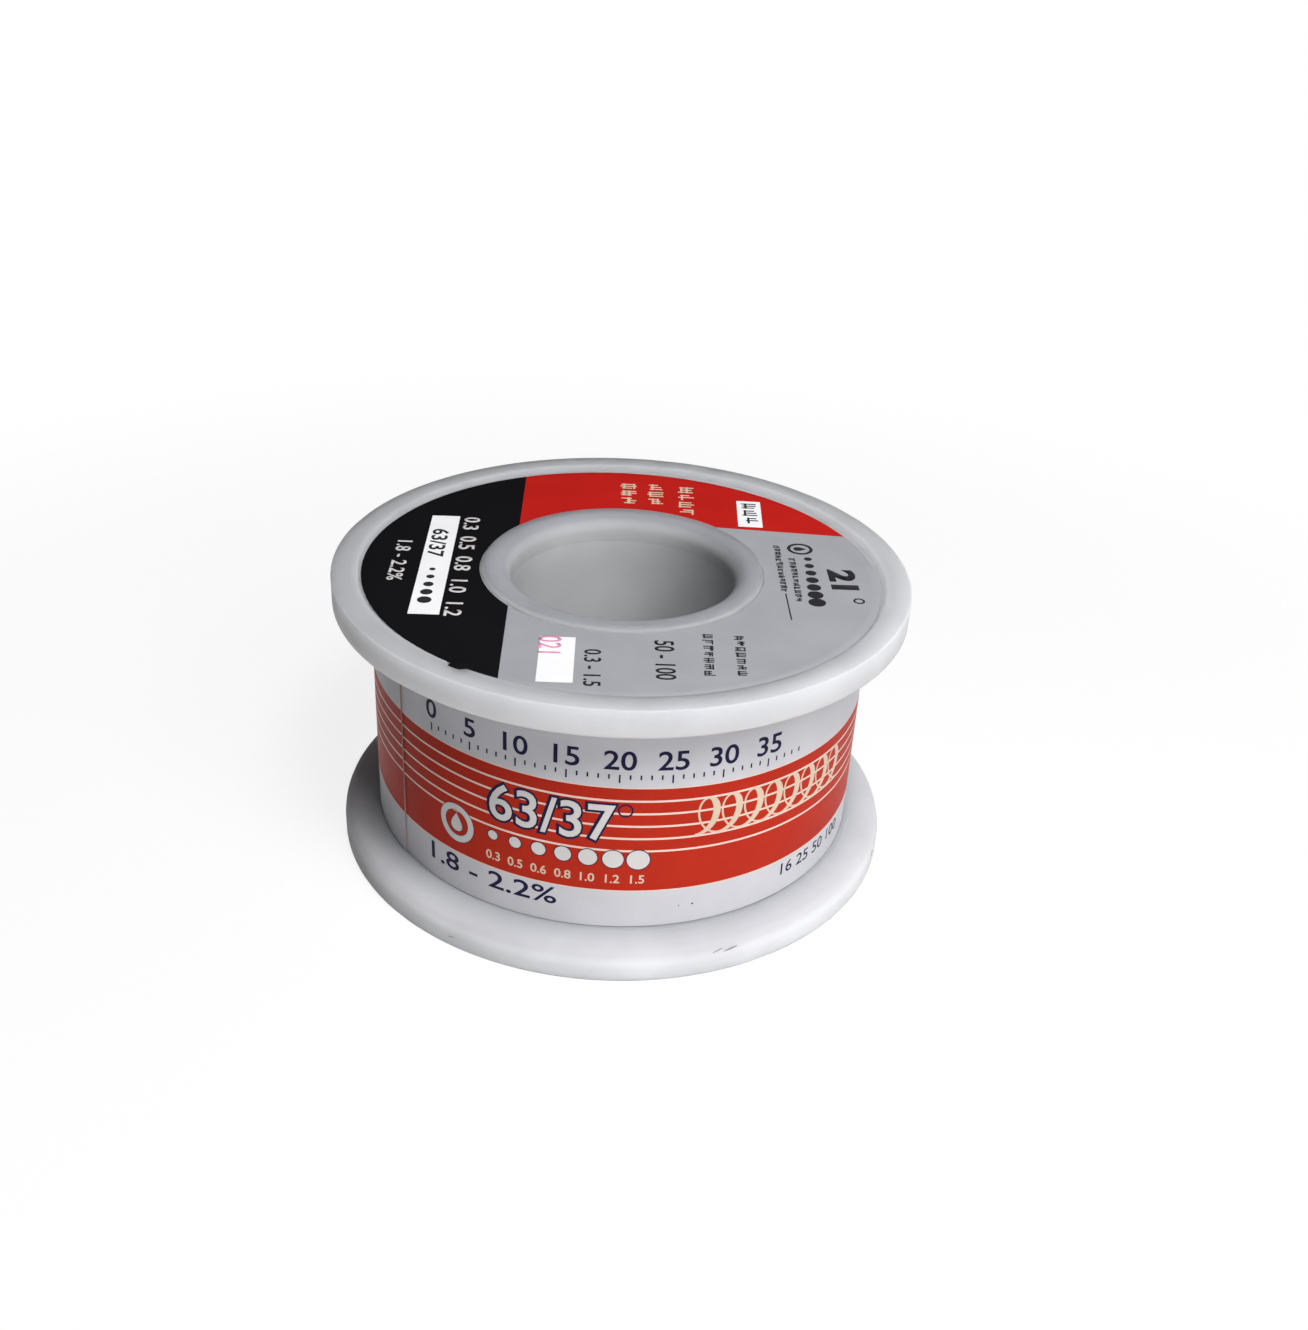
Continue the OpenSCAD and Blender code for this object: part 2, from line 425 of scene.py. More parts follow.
def flange_corners(inner_edge_r):
    """Corners of a flange that lies on its outer face, from the bore out to the bevel."""
    return [
        (bore_r, 0, mouth_r),
        (hub_r, 0, ring_edge_r),
        (hub_r, tray_depth, 0.05 * MM),
        (tray_r, tray_depth, 0.1 * MM),
        (tray_r + tray_lean, 0, 0.15 * MM),
        (flange_r, 0, edge_r),
        (flange_r, rim_t, inner_edge_r),
        (flange_r - bevel_w, flange_t, 0.8 * MM),
    ]


def add_piece(name, mesh, replaced=()):
    """Shows a finished mesh as a piece that rides with the reel."""
    piece = bpy.data.objects.new(name, mesh)
    scene.collection.objects.link(piece)
    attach(piece, "root")
    if replaced:
        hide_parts(*replaced)
    return piece


snap_z = spigot_top - snap_drop
lower_corners = flange_corners(worn_edge_r) + [
    (spigot_r, flange_t, 0.3 * MM),
    (spigot_r, snap_z - snap_half, 0),
    (spigot_r + snap_out, snap_z, 0.3 * MM),
    (spigot_r, snap_z + snap_half, 0),
    (spigot_r, spigot_top - lead_in, 0.1 * MM),
    (spigot_r - lead_in, spigot_top, 0.1 * MM),
    (bore_r, spigot_top, 0),
]
lower_flange_mesh = turned("lower_flange", rounded_outline(lower_corners))
wear_rim(lower_flange_mesh, seed=3, nicks=7)
# Greyer where wire backs the flange; the darkening from the winding out to about 28 mm is painted
# shade, and the lighter outer wall is painted light.
lower_flange_mesh.materials.append(milky_plastic("milky_plastic_lower", [
    (bore_r + 0.2 * MM, "bcbdbf"),
    (hub_r, "9a9ba1"),
    (25.8 * MM, "9fa1a5"),
    (26.5 * MM, "a8aaae"),
    (27.3 * MM, "b6b8bc"),
    (28.2 * MM, "c1c3c7"),
    (29.5 * MM, "c7c8cc"),
    (29.95 * MM, "dadbde"),
], depth=1.5 * MM))
add_piece("lower_flange", lower_flange_mesh, ["lower_flange_half"])


# ---- Upper flange half -----------------------------------------------------------------------
# The same moulding turned over, with the wider socket tube that the spigot snaps into. Its
# tray carries the face label, and its solid ring closes the hub above the spigot's end.
upper_corners = [(r, reel_h - z, rounding) for r, z, rounding in flange_corners(edge_r)] + [
    (hub_r, reel_h - flange_t, 0.3 * MM),
    (hub_r, flange_t, 0.1 * MM),
    (socket_r, flange_t, 0.1 * MM),
    (socket_r, reel_h - mouth_h, 0),
    (bore_r, reel_h - mouth_h, 0),
]
upper_flange_mesh = turned("upper_flange", rounded_outline(upper_corners))
wear_rim(upper_flange_mesh, seed=8, nicks=9, gap=gap_depth)
# Greyer on the ring and where wire backs the flange; the light band at the ring's outer edge is a
# painted highlight, and the lighter tray floor and wall round the label and the lighter rim side
# are painted light.
upper_flange_mesh.materials.append(milky_plastic("milky_plastic_upper", [
    (bore_r + 0.05 * MM, "b4b5b7"),
    (bore_r + 0.7 * MM, "989aa0"),
    (hub_r - 0.2 * MM, "989aa0"),
    (hub_r - 0.04 * MM, "c2c4c8"),
    (hub_r + 0.2 * MM, "c2c4c8"),
    (hub_r + 2 * MM, "989aa0"),
    (26.4 * MM, "c3c5ca"),
    (tray_r + tray_lean, "c3c5ca"),
    (28.1 * MM, "b4b6bb"),
    (29.76 * MM, "b4b6bb"),
    (29.86 * MM, "c6c8cd"),
], depth=16 * MM))
add_piece("upper_flange", upper_flange_mesh, ["upper_flange_half"])


# ---- Solder wire -----------------------------------------------------------------------------
# One flux-cored wire of soft tin alloy fills the reel, turn against turn and layer on layer.
# The layers below are seen only as their rounded turns, and the outermost is a real helix.
wire_d = 0.8 * MM
winding_r = 25.75 * MM
winding_low = 3.65 * MM
winding_high = reel_h - winding_low
turns_per_layer = math.floor((winding_high - winding_low - wire_d) / wire_d)
turn_pitch = (winding_high - winding_low - wire_d) / turns_per_layer
layer_gap = 0.02 * MM
hub_clearance = 0.15 * MM
steps_per_bump = 4


def new_tree(name, inputs):
    """Geometry Nodes tree with named inputs, and its first and last node."""
    tree = bpy.data.node_groups.new(name, "GeometryNodeTree")
    tree.interface.new_socket("Geometry", in_out="INPUT", socket_type="NodeSocketGeometry")
    tree.interface.new_socket("Geometry", in_out="OUTPUT", socket_type="NodeSocketGeometry")
    for label, kind in inputs.items():
        tree.interface.new_socket(label, in_out="INPUT", socket_type="NodeSocket" + kind)
    return tree, tree.nodes.new("NodeGroupInput").outputs, tree.nodes.new("NodeGroupOutput")


def end_tree(tree, last, geometry, material):
    """Ends a tree in real geometry that carries the material."""
    real = add_node(tree, "GeometryNodeRealizeInstances", {"Geometry": geometry})
    dressed = add_node(
        tree, "GeometryNodeSetMaterial", {"Geometry": real.outputs[0], "Material": material}
    )
    tree.links.new(dressed.outputs[0], last.inputs[0])


def grown(name, tree, values, start=None):
    """Plain mesh that a tree makes with these input values, from a start mesh if it has one."""
    carrier = bpy.data.objects.new(name, start or bpy.data.meshes.new(name))
    scene.collection.objects.link(carrier)
    modifier = carrier.modifiers.new(name, "NODES")
    modifier.node_group = tree
    for item in tree.interface.items_tree:
        if item.in_out == "INPUT" and item.name in values:
            modifier[item.identifier] = values[item.name]
    evaluated = carrier.evaluated_get(bpy.context.evaluated_depsgraph_get())
    mesh = bpy.data.meshes.new_from_object(evaluated)
    bpy.data.objects.remove(carrier)
    mesh.name = name
    return mesh


def helix_tree():
    """One round wire on a steady helix, a little uneven from turn to turn."""
    tree, given, last = new_tree("wound_helix", {
        "Turns": "Float", "Steps per turn": "Int", "Coil radius": "Float",
        "Rise": "Float", "Start height": "Float", "Wire radius": "Float",
        "Unevenness": "Float", "Material": "Material",
    })
    spiral = add_node(tree, "GeometryNodeCurveSpiral", {
        "Resolution": given["Steps per turn"], "Rotations": given["Turns"],
        "Start Radius": given["Coil radius"], "End Radius": given["Coil radius"],
        "Height": given["Rise"],
    })
    ripple = add_node(tree, "ShaderNodeTexNoise", {"Scale": 180.0, "Detail": 1.0})
    centred = add_node(
        tree, "ShaderNodeVectorMath",
        {0: ripple.outputs["Color"], 1: (0.5, 0.5, 0.5)}, operation="SUBTRACT",
    )
    uneven = add_node(
        tree, "ShaderNodeVectorMath",
        {0: centred.outputs[0], "Scale": given["Unevenness"]}, operation="SCALE",
    )
    start = add_node(tree, "ShaderNodeCombineXYZ", {"Z": given["Start height"]})
    shift = add_node(tree, "ShaderNodeVectorMath", {0: uneven.outputs[0], 1: start.outputs[0]})
    laid = add_node(
        tree, "GeometryNodeSetPosition",
        {"Geometry": spiral.outputs[0], "Offset": shift.outputs[0]},
    )
    section = add_node(
        tree, "GeometryNodeCurvePrimitiveCircle",
        {"Resolution": 8, "Radius": given["Wire radius"]},
    )
    wire = add_node(
        tree, "GeometryNodeCurveToMesh",
        {"Curve": laid.outputs[0], "Profile Curve": section.outputs[0], "Fill Caps": True},
    )
    smooth = add_node(tree, "GeometryNodeSetShadeSmooth", {"Geometry": wire.outputs[0]})
    end_tree(tree, last, smooth.outputs[0], given["Material"])
    return tree


def solder_metal():
    """Drawn tin alloy: soft silver grey, dulled in patches, with fine lines along the wire."""
    material, tree, shader, place = new_finish("solder", {"Metallic": 1.0})
    dull = noise_node(tree, place, scale=240.0, detail=4.0)
    tone = add_node(
        tree, "ShaderNodeMix", {"Factor": dull, 6: colour("a9abb0"), 7: colour("d2d3d6")},
        data_type="RGBA",
    )
    lines = add_node(
        tree, "ShaderNodeMapping", {"Vector": place, "Scale": (60, 60, 4000)}
    )
    drawn = noise_node(tree, lines.outputs[0], scale=1.0, detail=2.0)
    roughness = ramp_node(tree, dull, 0.5, 0.24)
    dress(tree, shader, tone.outputs[2], roughness, drawn, relief=0.15, depth=0.02 * MM)
    return material


def scalloped_outline(low, high, inner, outer):
    """Outline of stacked round turns: one shallow scallop for each turn and each layer."""
    points = []
    sides = [
        ((inner, low), (outer, low), (0, -1)), ((outer, low), (outer, high), (1, 0)),
        ((outer, high), (inner, high), (0, 1)), ((inner, high), (inner, low), (-1, 0)),
    ]
    for start, end, outward in sides:
        run = Vector(end) - Vector(start)
        bumps = round(run.length / wire_d)
        steps = bumps * steps_per_bump
        for k in range(steps):
            swell = abs(math.sin(math.pi * k / steps_per_bump)) - 1
            points.append(Vector(start) + run * k / steps + Vector(outward) * swell * wire_d / 4)
    return points


solder = solder_metal()
inner_low, inner_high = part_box("solder_inner_layers")
inner_layers_mesh = turned(
    "solder_inner_layers_wound",
    scalloped_outline(inner_low.z, inner_high.z, hub_r + hub_clearance, inner_high.x),
    steps=96,
)
inner_layers_mesh.materials.append(solder)
add_piece("inner_layers", inner_layers_mesh, ["solder_inner_layers"])

outer_layer_mesh = grown("outer_layer", helix_tree(), {
    "Turns": float(turns_per_layer),
    "Steps per turn": 60,
    "Coil radius": winding_r - wire_d / 2,
    "Rise": turns_per_layer * turn_pitch,
    "Start height": winding_low + wire_d / 2,
    "Wire radius": wire_d / 2 - layer_gap,
    "Unevenness": 0.03 * MM,
    "Material": solder,
})
add_piece("outer_layer", outer_layer_mesh, ["solder_outer_layer"])


# ---- Wrap label ------------------------------------------------------------------------------
# Strip of silver-faced paper, printed with a red band and pale pinstripes, wrapped once round
# the winding and glued down over its own start on the left. It is not quite square to the reel.
wrap_r = 26.0 * MM
paper_t = 0.15 * MM
strip_low = 3.55 * MM
strip_high = reel_h - 3.65 * MM
seam_end = math.radians(-54.5 + 360)
overlap = math.radians(22)
climb_turn = 0.12
# Heights and widths of the printing in mm, and the code of each ink
band_low = 7.85
band_high = 19.95
stripe_top = 18.42
stripe_step = 1.43
stripe_count = 5
stripe_w = 0.23
edge_line_w = 0.13
silver_ink, band_ink, line_ink, back_ink_and_seam_shade = range(4)
strip_columns = 400
print_tilt = 0.031
straight_low = 8.5 * MM
straight_high = 4 * MM
turn_drift = 0.3 * MM
surface_wave = 0.05 * MM
swell_round = 2.6
swell_up = 100.0


def strip_rows():
    """Heights of the strip's rows in mm, each with the code of the ink above it."""
    low, high = strip_low / MM, strip_high / MM
    rows = [(z, silver_ink) for z in (low, low + 0.5, 5.4, 6.6)]
    rows.append((band_low, line_ink))
    rows += [(z, band_ink) for z in (band_low + edge_line_w, 9.2, 10.4, 11.6)]
    for k in reversed(range(stripe_count)):
        middle = stripe_top - k * stripe_step
        rows += [(middle - stripe_w / 2, line_ink), (middle + stripe_w / 2, band_ink)]
    rows += [(19.2, band_ink), (band_high - edge_line_w, line_ink)]
    rows += [(z, silver_ink) for z in (band_high, 21.2, 22.6, 24.0, 25.4, high)]
    return rows


def flat_strip():
    """The strip laid out flat: X along it from the front of the reel, Y up, Z outward."""
    rows = strip_rows()
    start = (seam_end - 2 * math.pi - overlap) * wrap_r
    length = (2 * math.pi + overlap) * wrap_r
    form = bmesh.new()
    ink = form.faces.layers.int.new("ink")
    face_side, glue_side = [], []
    for height, _ in rows:
        along = [start + length * c / strip_columns for c in range(strip_columns + 1)]
        face_side.append([form.verts.new((x, height * MM, 0)) for x in along])
        glue_side.append([form.verts.new((x, height * MM, -paper_t)) for x in along])

    def panel(corners, code):
        form.faces.new(corners)[ink] = code

    for r in range(len(rows) - 1):
        for c in range(strip_columns):
            front, back = face_side, glue_side
            panel((front[r][c], front[r][c + 1], front[r + 1][c + 1], front[r + 1][c]), rows[r][1])
            panel((back[r][c], back[r + 1][c], back[r + 1][c + 1], back[r][c + 1]), back_ink_and_seam_shade)
        # The cut ends carry the dark back colour, which stands in for the shade of the step at the
        # seam: painted shade.
        for c in (0, strip_columns):
            front, back = (face_side, glue_side) if c else (glue_side, face_side)
            panel((front[r][c], back[r][c], back[r + 1][c], front[r + 1][c]), back_ink_and_seam_shade)
    for c in range(strip_columns):
        for r in (0, len(rows) - 1):
            front, back = (face_side, glue_side) if r else (glue_side, face_side)
            panel((front[r][c], front[r][c + 1], back[r][c + 1], back[r][c]), back_ink_and_seam_shade)
    return finished_mesh("flat_strip", form)


def wrap_tree(name, inks):
    """Bends flat work round the winding. inks gives the ink code of each material input."""
    tree, given, last = new_tree(name, {
        "Radius": "Float", "Tilt": "Float", "Drift": "Float", "Overlap start": "Float",
        "Overlap rise": "Float", "Wave": "Float", **{label: "Material" for label in inks},
    })
    spot = add_node(
        tree, "ShaderNodeSeparateXYZ",
        {0: add_node(tree, "GeometryNodeInputPosition").outputs[0]},
    ).outputs
    angle = math_node(tree, "DIVIDE", spot["X"], given["Radius"])
    east = math_node(tree, "SINE", angle)
    south = math_node(tree, "COSINE", angle)
    # The paper follows the winding, so it swells and sinks a little from place to place.
    around = add_node(tree, "ShaderNodeCombineXYZ", {
        "X": math_node(tree, "MULTIPLY", east, swell_round),
        "Y": math_node(tree, "MULTIPLY", south, swell_round),
        "Z": math_node(tree, "MULTIPLY", spot["Y"], swell_up),
    })
    swell = add_node(
        tree, "ShaderNodeTexNoise",
        {"Vector": around.outputs[0], "Scale": 1.6, "Detail": 1.0},
    )
    wave = math_node(
        tree, "MULTIPLY",
        math_node(tree, "SUBTRACT", swell.outputs["Fac"], 0.5), given["Wave"],
    )
    climb_start = math_node(tree, "SUBTRACT", given["Overlap start"], climb_turn)
    climbed = ramp_node(
        tree, angle, 0.0, 1.0, climb_start, given["Overlap start"], kind="SMOOTHSTEP"
    )
    climb = math_node(tree, "MULTIPLY", climbed, given["Overlap rise"])
    reach = math_node(tree, "ADD", given["Radius"], spot["Z"])
    reach = math_node(tree, "ADD", reach, math_node(tree, "ADD", wave, climb))
    # The print runs askew, but both cut edges of the strip stay along the flanges.
    lean = math_node(
        tree, "MULTIPLY", math_node(tree, "MULTIPLY", east, given["Radius"]), given["Tilt"]
    )
    drift = math_node(
        tree, "MULTIPLY",
        math_node(tree, "DIVIDE", angle, 2 * math.pi), given["Drift"],
    )
    askew = math_node(tree, "SUBTRACT", drift, lean)
    freed_low = ramp_node(
        tree, spot["Y"], 0.0, 1.0, strip_low, strip_low + straight_low, kind="SMOOTHSTEP"
    )
    freed_high = ramp_node(
        tree, spot["Y"], 1.0, 0.0, strip_high - straight_high, strip_high, kind="SMOOTHSTEP"
    )
    askew = math_node(
        tree, "MULTIPLY", askew, math_node(tree, "MULTIPLY", freed_low, freed_high)
    )
    bent = add_node(tree, "ShaderNodeCombineXYZ", {
        "X": math_node(tree, "MULTIPLY", reach, east),
        "Y": math_node(tree, "MULTIPLY", math_node(tree, "MULTIPLY", reach, south), -1.0),
        "Z": math_node(tree, "ADD", spot["Y"], askew),
    })
    shape = add_node(
        tree, "GeometryNodeSetPosition",
        {"Geometry": given["Geometry"], "Position": bent.outputs[0]},
    ).outputs[0]
    shape = add_node(tree, "GeometryNodeSetShadeSmooth", {"Geometry": shape}).outputs[0]
    shape = add_node(tree, "GeometryNodeRealizeInstances", {"Geometry": shape}).outputs[0]
    code = add_node(
        tree, "GeometryNodeInputNamedAttribute", {"Name": "ink"}, data_type="INT"
    ).outputs["Attribute"]
    for label, value in inks.items():
        chosen = add_node(
            tree, "FunctionNodeCompare", {2: code, 3: value},
            data_type="INT", operation="EQUAL",
        ).outputs[0]
        shape = add_node(
            tree, "GeometryNodeSetMaterial",
            {"Geometry": shape, "Selection": chosen, "Material": given[label]},
        ).outputs[0]
    tree.links.new(shape, last.inputs[0])
    return tree


def printed_paper(name, ink_code, roughness, relief, metallic=0.0, specular=0.2):
    """Printed label stock: ink that varies a little in density, on paper that is not flat."""
    material, tree, shader, place = new_finish(
        name, {"Metallic": metallic, "Specular IOR Level": specular}
    )
    density = noise_node(tree, place, scale=190.0, detail=5.0)
    shade = ramp_node(tree, density, 0.95, 1.04, noise_low, noise_high)
    inked = uneven_tint(tree, colour(ink_code), shade)
    fibre = noise_node(tree, place, scale=1500.0, detail=3.0)
    gloss = ramp_node(tree, fibre, roughness - 0.08, roughness + 0.08)
    dents = noise_node(tree, place, scale=260.0, detail=2.0)
    uneven = math_node(tree, "ADD", dents, fibre)
    dress(tree, shader, inked, gloss, uneven, relief, depth=0.04 * MM)
    return material


wrap_silver = printed_paper("wrap_silver", "c8c7cc", 0.45, 0.2, metallic=0.05, specular=0.1)
band_red = printed_paper("band_red", "b02b1a", 0.45, 0.2, specular=0.06)
stripe_cream = printed_paper("stripe_cream", "e2cabd", 0.4, 0.2)
# The back and cut edges of the strip are a dark brown; at the seam's cut end this darkness is
# painted shade.
paper_back_and_seam_shade = printed_paper("paper_back_and_seam_shade", "857672", 0.8, 0.3)

wrap_settings = {
    "Radius": wrap_r,
    "Tilt": print_tilt,
    "Drift": turn_drift,
    "Overlap start": seam_end - overlap,
    "Overlap rise": paper_t + 0.01 * MM,
    "Wave": surface_wave,
}
strip_tree = wrap_tree(
    "wrap_strip", {"Silver": silver_ink, "Band": band_ink, "Line": line_ink, "Back and seam shade": back_ink_and_seam_shade}
)
strip_mesh = grown("wrap_strip", strip_tree, {
    **wrap_settings,
    "Silver": wrap_silver, "Band": band_red, "Line": stripe_cream, "Back and seam shade": paper_back_and_seam_shade,
}, flat_strip())
strip_mesh.set_sharp_from_angle(angle=math.radians(60))
add_piece("wrap_strip", strip_mesh, ["wrap_label"])


# ---- Print on the wrap label -----------------------------------------------------------------
# Thin ink on the strip, laid out flat in mm and bent round with it: a ruler scale, a large alloy
# ratio, gauge dots with their sizes, a running loop of wire and smaller numbers. It comes twice.
ink_t = 0.03
ink_lift = 0.012
cut_step = 1.0
drop_girth = 0.62 / 1.3
# Places along the strip in mm: the scale's start, the first gauge dot and the ringed drop
scale_start = -19.5
first_dot = -11.9
dot_step = 2.42
drop_place = -16.3


def bar(sheet, x, y, wide, high, turn=0.0, raised=0.0):
    """Filled bar about a centre, turned by an angle in degrees and raised over the sheet."""
    swing = Matrix.Rotation(math.radians(turn), 2)
    corners = [(-wide, -high), (wide, -high), (wide, high), (-wide, high)]
    spots = [Vector((x, y)) + swing @ Vector(c) / 2 for c in corners]
    sheet.faces.new([sheet.verts.new((*s, raised)) for s in spots])


def circle(sheet, x, y, radius, steps):
    """Points evenly round a circle."""
    angles = [2 * math.pi * k / steps for k in range(steps)]
    spots = [(x + radius * math.cos(a), y + radius * math.sin(a), 0) for a in angles]
    return [sheet.verts.new(spot) for spot in spots]


def disc(sheet, x, y, radius, steps=28):
    """Filled round dot."""
    sheet.faces.new(circle(sheet, x, y, radius, steps))


def hoop(sheet, x, y, outer, inner, steps=36):
    """Flat ring."""
    near, far = circle(sheet, x, y, inner, steps), circle(sheet, x, y, outer, steps)
    for k in range(steps):
        n = (k + 1) % steps
        sheet.faces.new((near[k], far[k], far[n], near[n]))


def drop(sheet, x, y, high, turn=0.0):
    """Filled drop, round below and pointed above, about the centre of its height."""
    swing = Matrix.Rotation(math.radians(turn), 2)
    steps = 36
    corners = []
    for k in range(steps):
        a = 2 * math.pi * k / steps
        out = drop_girth * high * math.sin(a) * math.sin(a / 2) ** 1.5
        corners.append(Vector((x, y)) + swing @ Vector((out, high / 2 * math.cos(a))))
    sheet.faces.new([sheet.verts.new((*c, 0)) for c in reversed(corners)])


def figures(sheet, text, x, y, high, turn=0.0, weight=0.0, stretch=1.0):
    """Plain numbers of a given height about their middle."""
    data = bpy.data.curves.new("figures", "FONT")
    data.body = text
    data.size = 1.0
    data.offset = weight
    data.resolution_u = 4
    carrier = bpy.data.objects.new("figures", data)
    mesh = bpy.data.meshes.new_from_object(carrier)
    bpy.data.objects.remove(carrier)
    xs = [v.co.x for v in mesh.vertices]
    ys = [v.co.y for v in mesh.vertices]
    scale = high / (max(ys) - min(ys))
    middle = Vector(((min(xs) + max(xs)) / 2, (min(ys) + max(ys)) / 2, 0))
    mesh.transform(
        Matrix.Translation((x, y, 0))
        @ Matrix.Rotation(math.radians(turn), 4, "Z")
        @ Matrix.Diagonal((scale * stretch, scale, 1, 1))
        @ Matrix.Translation(-middle)
    )
    sheet.from_mesh(mesh)
    bpy.data.meshes.remove(mesh)


def running_loop(sheet, x, y, long, high, loops, thick, thin):
    """One line that runs on in loops like wire paid out, broad upstroke and fine return."""
    steps = loops * 40
    stroke = []
    for k in range(steps + 1):
        a = -math.pi / 2 + 2 * math.pi * loops * k / steps
        centre = x + long * k / steps
        stroke.append(Vector((centre + 0.36 * high * math.cos(a), y + high / 2 * math.sin(a))))
    edges = []
    for k, spot in enumerate(stroke):
        run = (stroke[min(k + 1, steps)] - stroke[max(k - 1, 0)]).normalized()
        wide = thin + (thick - thin) * max(0.0, run.y) ** 1.5
        side = Vector((-run.y, run.x)) * wide / 2
        edges.append((sheet.verts.new((*(spot + side), 0)), sheet.verts.new((*(spot - side), 0))))
    for (a, b), (c, d) in zip(edges, edges[1:]):
        sheet.faces.new((b, d, c, a))


def cut_apart(form, place, normal):
    """Cuts everything in a form along a plane."""
    everything = form.verts[:] + form.edges[:] + form.faces[:]
    bmesh.ops.bisect_plane(form, geom=everything, plane_co=place, plane_no=normal)


def doubled(form):
    """Extrudes all faces in place and gives the new corners."""
    made = bmesh.ops.extrude_face_region(form, geom=form.faces[:])["geom"]
    return [part for part in made if isinstance(part, bmesh.types.BMVert)]


def solid_ink(sheet, lift):
    """Turns flat print in mm into thin closed ink in metres, cut up finely enough to bend."""
    bmesh.ops.remove_doubles(sheet, verts=sheet.verts, dist=1e-4)
    for axis in (Vector((1, 0, 0)), Vector((0, 1, 0))):
        spots = [v.co.dot(axis) for v in sheet.verts]
        for k in range(math.ceil(min(spots) / cut_step), math.ceil(max(spots) / cut_step)):
            cut_apart(sheet, axis * k * cut_step, axis)
    for face in sheet.faces:
        if face.normal.z < 0:
            face.normal_flip()
    bmesh.ops.translate(sheet, verts=doubled(sheet), vec=(0, 0, ink_t))
    bmesh.ops.translate(sheet, verts=sheet.verts, vec=(0, 0, lift - ink_t))
    bmesh.ops.scale(sheet, verts=sheet.verts, vec=(MM, MM, MM))
    bmesh.ops.recalc_face_normals(sheet, faces=sheet.faces)
    return finished_mesh("ink", sheet)


def bent_ink(name, sheet, material, lift=ink_lift):
    """Bends finished print round the strip and shows it as a piece."""
    mesh = solid_ink(sheet, lift)
    mesh.attributes.new("ink", "INT", "FACE")
    mesh = grown(name, ink_tree, {**wrap_settings, "Ink": material}, mesh)
    mesh.set_sharp_from_angle(angle=math.radians(40))
    add_piece(name, mesh)


ink_tree = wrap_tree("wrap_ink", {"Ink": 0})
ink_navy = printed_paper("ink_navy", "201e3c", 0.45, 0.1, specular=0.06)
ink_white = printed_paper("ink_white", "cfcccb", 0.45, 0.1)
ink_cream = printed_paper("ink_cream", "d2bca6", 0.45, 0.1)

wire_sizes = ("0.3", "0.5", "0.6", "0.8", "1.0", "1.2", "1.5")
navy, outline, white, cream = (bmesh.new() for _ in range(4))
for repeat in (0, 1):
    ahead = repeat * math.pi * wrap_r / MM
    for tick in range(40):
        place = ahead + scale_start + tick
        high = 0.5 if tick % 5 else 0.9
        bar(navy, place, 21.35 - high / 2, 0.16, high)
        if tick % 5 == 0:
            figures(navy, str(tick), place, 22.9, 2.1, weight=0.012, stretch=1.1)
    # White print lies on navy print that is a little larger, and that shows as its outline.
    for sheet, extra in ((outline, 0.075), (white, 0.03)):
        figures(
            sheet, "63/37", ahead - 6.0, 15.85, 3.74 + 16 * extra, weight=extra - 0.02,
            stretch=0.96,
        )
        for k in range(len(wire_sizes)):
            disc(sheet, ahead + first_dot + dot_step * k, 11.7, 0.45 + 0.1 * k + 2.2 * extra)
        hoop(sheet, ahead + drop_place, 11.3, 2.1 + 1.4 * extra, 1.5 - 1.4 * extra)
        drop(sheet, ahead + drop_place, 11.4, 2.0 + 4 * extra)
    for k, size in enumerate(wire_sizes):
        figures(cream, size, ahead + first_dot + dot_step * k, 9.35, 1.0, weight=0.015)
    running_loop(cream, ahead + 8.0, 16.3, 19.5, 4.1, 8, 0.75, 0.2)
    figures(navy, "1.8 - 2.2%", ahead - 12.6, 6.55, 1.95, weight=0.01, stretch=1.45)
    figures(navy, "16 25 50 100", ahead + 24.4, 6.5, 1.55, weight=0.004)
    hoop(navy, ahead + 1.2, 17.35, 0.75, 0.58)
# Two stray specks of ink
disc(navy, 6.9, 5.75, 0.07, steps=10)
disc(navy, 8.3, 5.77, 0.1, steps=10)

bent_ink("wrap_ink_navy", navy, ink_navy)
bent_ink("wrap_ink_outline", outline, ink_navy)
bent_ink("wrap_ink_white", white, ink_white, lift=2 * ink_lift)
bent_ink("wrap_ink_cream", cream, ink_cream)


# ---- Face label ------------------------------------------------------------------------------
# Die-cut ring of the same silver-faced paper, stuck by hand into the upper tray, a little off
# centre and out of square. A black and a red field are printed over the silver.
face_r = 26.7 * MM
face_hole_r = 14.85 * MM
face_z = reel_h - tray_depth
face_shift = Vector((-0.1, -0.2, 0)) * MM
face_stretch = 0.3 * MM
stretch_angle = math.radians(-20)
pressed_edge = 0.15 * MM
pressed_share = 0.25
cut_wobble = 0.03 * MM
cut_waves = 60
fray_inner = 0.75 * MM
fray_outer = 1.15 * MM
frayed_from = face_r + 0.2 * MM
silver_field, black_field, red_field = range(3)
dark_edge = -11.4 * MM
dark_turn = 1.3
bright_edge = 11.9 * MM
bright_turn = -4.0
face_steps = 360
face_rings = 14


